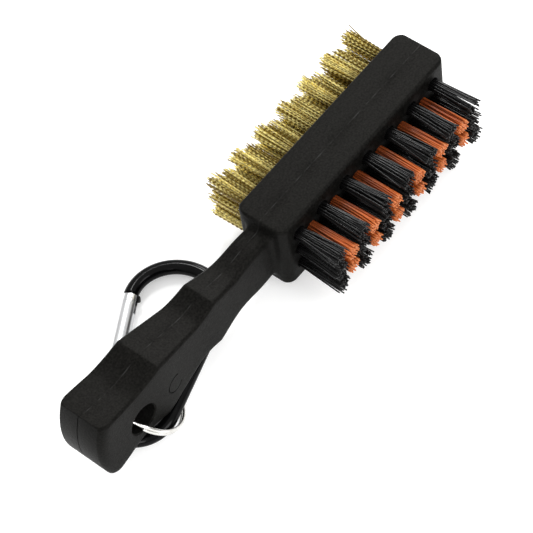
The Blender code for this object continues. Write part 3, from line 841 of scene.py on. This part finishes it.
def hook_rod():
    """Round rod, pressed slightly flat, with both cut ends broken by a small chamfer."""
    points, across = rod_path()
    first, last = points[0], points[-1]
    points[0] = first - ROD_CHAMFER * (first - points[1]).normalized()
    points[-1] = last - ROD_CHAMFER * (last - points[-2]).normalized()
    scales = [ROD_END_SCALE] + [1.0] * len(points) + [ROD_END_SCALE]
    points = [first] + points + [last]
    across = [across[0]] + across + [across[-1]]
    sections = []
    for scale in scales:
        section = []
        for i in range(40):
            angle = TAU * i / 40
            u = ROD_RADIUS * scale * math.cos(angle)
            v = ROD_RADIUS * scale * ROD_FLATTEN * math.sin(angle)
            section.append((u, v))
        sections.append(section)
    return sweep(points, across, sections)


def heel_outline():
    """Heel tongue: round about the rivet, with its root in the rod."""
    points = [(-4.2, -1.7)]
    for step in range(17):
        angle = math.radians(-80.0 + 10.0 * step)
        points.append((1.9 * math.cos(angle), 1.9 * math.sin(angle)))
    points.append((-4.2, 1.7))
    return points


def nose_outline():
    """Nose blade: a stop at the tube's mouth, a notch for the latch pin and a lip past it."""
    return [
        (31.4, -1.3), (30.2, -1.3), (29.8, -3.0), (28.9, -3.0), (28.6, -2.6), (28.6, 0.1),
        (26.6, 0.1), (26.6, -2.0), (25.7, -2.0), (25.3, -1.6), (25.3, 0.6), (26.0, 1.3),
        (31.4, 1.3),
    ]


def build_hook():
    """Rod, heel tongue and nose blade as one solid."""
    steps = [
        ("UNION", placed(prism(heel_outline(), TONGUE_HALF, 0.08), GATE_PLACE, "heel_tongue")),
        ("UNION", placed(prism(nose_outline(), TONGUE_HALF, 0.1), GATE_PLACE, "nose_blade")),
        ("DIFFERENCE", placed(pin_cutter(RIVET_BORE), GATE_PLACE, "pin_hole")),
    ]
    mesh = boolean(placed(hook_rod(), HOOK_PLACE, "hook_rod"), steps, "gloss_hook")
    piece("gloss_hook", mesh, black_anodised(), "hook", ["carabiner_body"], sharp=40.0)


def pin_cutter(radius, at=(0.0, 0.0)):
    """A drill along Z through the gate or the tongue."""
    bm = bmesh.new()
    bmesh.ops.create_cone(
        bm, cap_ends=True, segments=28, radius1=radius, radius2=radius, depth=12.0,
        matrix=Matrix.Translation((*at, 0.0)),
    )
    return bm


def slot_cutter(low, high):
    """A cutter for the slot in which the tongue or the blade lies."""
    bm = bmesh.new()
    size = Matrix.Diagonal((high - low, 8.0, 2.0 * SLOT_HALF, 1.0))
    bmesh.ops.create_cube(bm, size=1.0, matrix=Matrix.Translation(((low + high) / 2, 0.0, 0.0)) @ size)
    return bm


def build_gate(satin):
    """The gate's tube: domed heel, a rolled groove near its mouth, bored and slotted."""
    back = -GATE_RADIUS
    profile = [(back, 0.0), (back, 0.9)]
    for step in range(1, 9):
        angle = math.radians(90.0 * step / 8)
        radius = 0.9 + (GATE_RADIUS - 0.9) * math.sin(angle)
        profile.append((back + GATE_RADIUS * (1 - math.cos(angle)), radius))
    profile += [
        (GATE_LENGTH - 2.75, GATE_RADIUS), (GATE_LENGTH - 2.65, GATE_RADIUS - 0.09),
        (GATE_LENGTH - 2.5, GATE_RADIUS - 0.09), (GATE_LENGTH - 2.4, GATE_RADIUS),
        (GATE_LENGTH - 0.35, GATE_RADIUS), (GATE_LENGTH - 0.1, 2.3), (GATE_LENGTH, 2.05),
        (GATE_LENGTH, 0.0),
    ]
    low, high = 4.3, GATE_LENGTH - 5.5
    bore = lathe(((low, 0.0), (low, GATE_BORE), (high, GATE_BORE), (high, 0.0)), 32)
    cutters = (
        (bore, "bore"),
        (slot_cutter(-4.0, 4.8), "heel_slot"),
        (slot_cutter(GATE_LENGTH - 6.0, GATE_LENGTH + 4.0), "nose_slot"),
        (pin_cutter(RIVET_BORE), "pin_hole"),
        (pin_cutter(LATCH_BORE, LATCH_PLACE), "latch_hole"),
    )
    steps = [("DIFFERENCE", placed(cutter, GATE_PLACE, name)) for cutter, name in cutters]
    mesh = boolean(placed(lathe(profile, 64), GATE_PLACE, "gate_tube"), steps, "satin_gate")
    piece("satin_gate", mesh, satin, "gate", ["carabiner_gate"], sharp=40.0)


def build_rivet(satin):
    """Domed rivet that the gate turns on."""
    low, high, head = GATE_RADIUS + 0.15, GATE_RADIUS + 0.55, 1.3
    dome = [
        (low, head), (low + 0.12, head * 0.97), (low + 0.26, head * 0.8),
        (high - 0.03, head * 0.5), (high, 0.0),
    ]
    profile = [(-x, r) for x, r in reversed(dome)] + [(-low, 0.75), (low, 0.75)] + dome
    bm = lathe(profile, 36)
    bm.transform(Matrix.Rotation(math.radians(-90.0), 4, "Y"))
    piece("domed_rivet", placed(bm, GATE_PLACE, "domed_rivet"), satin, "hook",
          ["gate_hinge_rivet"], sharp=50.0)


def dress_hidden_parts():
    """The pin, plunger and spring inside the gate keep their CAD shapes."""
    steel = plated_metal("spring_steel_finish", (0.32, 0.32, 0.31), (0.55, 0.55, 0.53), 0.38)
    for name in ("gate_latch_pin", "gate_plunger", "gate_spring"):
        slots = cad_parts[name].data.materials
        slots.clear()
        slots.append(steel)


# ---------------------------------------------------------------- stage

def area_light(name, place, target, size, power):
    """A white disc light that faces its target."""
    data = bpy.data.lights.new(name, "AREA")
    data.shape = "DISK"
    data.size = size
    data.energy = power
    made = bpy.data.objects.new(name, data)
    bpy.context.scene.collection.objects.link(made)
    made.location = place
    made.rotation_mode = "QUATERNION"
    made.rotation_quaternion = (Vector(target) - Vector(place)).to_track_quat("-Z", "Y")


def build_stage():
    """Pale floor: the ring and hook under the handle prop its end up a little."""
    bm = bmesh.new()
    bmesh.ops.create_grid(bm, x_segments=8, y_segments=8, size=3.0)
    mesh = bpy.data.meshes.new("floor")
    bm.to_mesh(mesh)
    bm.free()
    floor = bpy.data.objects.new("floor", mesh)
    bpy.context.scene.collection.objects.link(floor)
    floor.location = (HEAD_HALF_LENGTH * MM, 0.0, -0.00002)
    floor.rotation_euler = (0.0, -math.atan(FLOOR_SLOPE), 0.0)
    finish = Finish("pale_floor", 0.9)
    finish.set("Base Color", (0.74, 0.74, 0.736, 1.0))
    finish.set("Emission Color", (1.0, 1.0, 1.0, 1.0))
    finish.set("Emission Strength", 0.38)
    mesh.materials.append(finish.material)


def build_lights():
    """Plain soft studio: a white surround that fades downwards, and four disc lights."""
    world = bpy.data.worlds.new("soft_studio")
    bpy.context.scene.world = world
    world.use_nodes = True
    nodes, links = world.node_tree.nodes, world.node_tree.links
    background = nodes["Background"]
    split = nodes.new("ShaderNodeSeparateXYZ")
    fade = nodes.new("ShaderNodeMapRange")
    for name, value in (("From Min", 0.0), ("From Max", 0.8), ("To Min", 0.4), ("To Max", 1.05)):
        fade.inputs[name].default_value = value
    links.new(nodes.new("ShaderNodeTexCoord").outputs["Generated"], split.inputs[0])
    links.new(split.outputs["Z"], fade.inputs["Value"])
    links.new(fade.outputs["Result"], background.inputs["Strength"])
    background.inputs["Color"].default_value = (1.0, 1.0, 1.0, 1.0)
    for light in LIGHTS:
        area_light(*light)


def build_camera():
    """The camera at the photograph's viewing angle."""
    azimuth, elevation, roll = (math.radians(angle) for angle in CAMERA_ANGLES)
    back = Vector((
        math.sin(azimuth) * math.cos(elevation), -math.cos(azimuth) * math.cos(elevation),
        math.sin(elevation),
    ))
    data = bpy.data.cameras.new("photo_camera")
    data.lens = CAMERA_LENS
    data.sensor_width = 36.0
    data.clip_start = 0.05
    camera = bpy.data.objects.new("photo_camera", data)
    bpy.context.scene.collection.objects.link(camera)
    camera.rotation_mode = "QUATERNION"
    turned = Matrix.Rotation(roll, 3, "Z").to_quaternion()
    camera.rotation_quaternion = (-back).to_track_quat("-Z", "Y") @ turned
    camera.location = CAMERA_TARGET + CAMERA_DISTANCE * back
    bpy.context.scene.camera = camera


build_body()
build_tufts()
build_ring()
build_hook()
gate_yaw = HOOK_YAW + math.atan2(GATE_AXIS.y, GATE_AXIS.x)
satin = plated_metal(
    "satin_aluminium", (0.42, 0.425, 0.43), (0.82, 0.825, 0.83), 0.3, (0.03, 1.0, 1.0), gate_yaw, 900.0
)
build_gate(satin)
build_rivet(satin)
dress_hidden_parts()
build_stage()
build_lights()
build_camera()
bpy.context.scene.view_settings.view_transform = "Standard"
